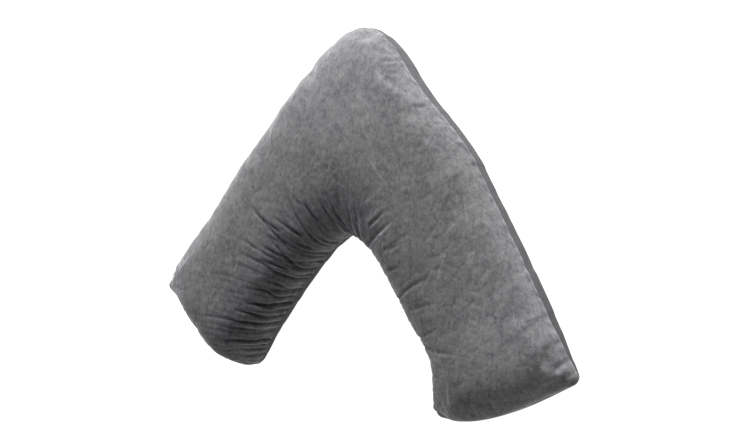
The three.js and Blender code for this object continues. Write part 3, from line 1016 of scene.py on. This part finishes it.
def back_material():
    """Plain cloth: two sets of threads at 45 degrees to the arms, unevenly grey."""
    mat = bpy.data.materials.new("plain_grey_cloth")
    mat.use_nodes = True
    tree = mat.node_tree
    link = tree.links.new
    bsdf = tree.nodes["Principled BSDF"]
    bsdf.inputs["Roughness"].default_value = 0.9
    bsdf.inputs["Specular IOR Level"].default_value = 0.15
    place = tree.nodes.new("ShaderNodeTexCoord").outputs["Object"]
    woven = tree.nodes.new("ShaderNodeMath")
    woven.operation = "MAXIMUM"
    for turn, socket in zip((45, -45), woven.inputs):
        turned = node(tree, "ShaderNodeMapping", Rotation=(0, 0, math.radians(turn)),
                      Scale=(1, 0.25, 1))
        link(place, turned.inputs["Vector"])
        thread = node(tree, "ShaderNodeTexNoise", Scale=520.0, Detail=1.0)
        link(turned.outputs["Vector"], thread.inputs["Vector"])
        link(thread.outputs["Fac"], socket)
    uneven = node(tree, "ShaderNodeTexNoise", Scale=60.0, Detail=4.0, Roughness=0.7)
    link(place, uneven.inputs["Vector"])
    mixed = node(tree, "ShaderNodeMix", Factor=0.5)
    link(woven.outputs[0], mixed.inputs["A"])
    link(uneven.outputs["Fac"], mixed.inputs["B"])
    link(colours_between(tree, mixed.outputs["Result"], BACK_COLOURS), bsdf.inputs["Base Color"])
    bumped(tree, woven.outputs[0], 0.4, 0.0005)
    return mat


def make_camera():
    """The camera at the photo's angle."""
    turn, tilt, roll = (math.radians(a) for a in (CAMERA_TURN, CAMERA_TILT, CAMERA_ROLL))
    level = math.cos(tilt)
    back = Vector((math.sin(turn) * level, math.sin(tilt), math.cos(turn) * level))
    right = Vector((0, 1, 0)).cross(back).normalized()
    up = back.cross(right)
    rolled_right = right * math.cos(roll) + up * math.sin(roll)
    rolled_up = up * math.cos(roll) - right * math.sin(roll)
    turned = Matrix((rolled_right, rolled_up, back)).transposed().to_4x4()
    data = bpy.data.cameras.new("camera")
    data.lens = CAMERA_LENS
    data.sensor_width = SENSOR_WIDTH
    camera = bpy.data.objects.new("camera", data)
    aim = Vector((np.array(CAMERA_AIM) - SHIFT) * MM)
    camera.matrix_world = Matrix.Translation(aim + back * CAMERA_DISTANCE) @ turned
    bpy.context.collection.objects.link(camera)
    bpy.context.scene.camera = camera


def area_light(name, place, power):
    """A soft round lamp that points at the pillow."""
    data = bpy.data.lights.new(name, "AREA")
    data.shape = "DISK"
    data.size = LIGHT_SIZE
    data.energy = power
    light = bpy.data.objects.new(name, data)
    light.location = place
    aim = Vector(LIGHT_AIM) - Vector(place)
    light.rotation_euler = aim.to_track_quat("-Z", "Y").to_euler()
    bpy.context.collection.objects.link(light)


def make_stage():
    """Pale floor, even surroundings and soft lamps."""
    bpy.ops.mesh.primitive_plane_add(size=FLOOR_SIZE, location=(0, 0, 0))
    floor = bpy.context.object
    floor.name = "floor"
    mat = bpy.data.materials.new("pale_floor")
    mat.use_nodes = True
    bsdf = mat.node_tree.nodes["Principled BSDF"]
    bsdf.inputs["Base Color"].default_value = (0.3, 0.3, 0.3, 1)
    bsdf.inputs["Roughness"].default_value = 0.9
    bsdf.inputs["Emission Color"].default_value = (1, 1, 1, 1)
    bsdf.inputs["Emission Strength"].default_value = FLOOR_GLOW
    floor.data.materials.append(mat)
    world = bpy.data.worlds.new("studio")
    bpy.context.scene.world = world
    world.use_nodes = True
    background = world.node_tree.nodes["Background"]
    background.inputs["Color"].default_value = (1, 1, 1, 1)
    background.inputs["Strength"].default_value = WORLD_STRENGTH
    for name, place, power in LIGHTS:
        area_light(name, place, power)
    bpy.context.scene.view_settings.view_transform = "Standard"


pillow = Pillow(even_places(STATIONS))
front_t = even_columns(FRONT_COLUMNS)
panel_t = front_t[::FRONT_COLUMNS // PANEL_COLUMNS]
hidden_t = front_t[::FRONT_COLUMNS // HIDDEN_COLUMNS]
SHIFT = seam_shift()

make_camera()

front = make_front_piece()
front.data.materials.append(velour_material())
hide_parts("filled_body")
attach(front, "root")

back = make_back_piece()
back.data.materials.append(back_material())
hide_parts("back_panel")
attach(back, "root")

make_stage()
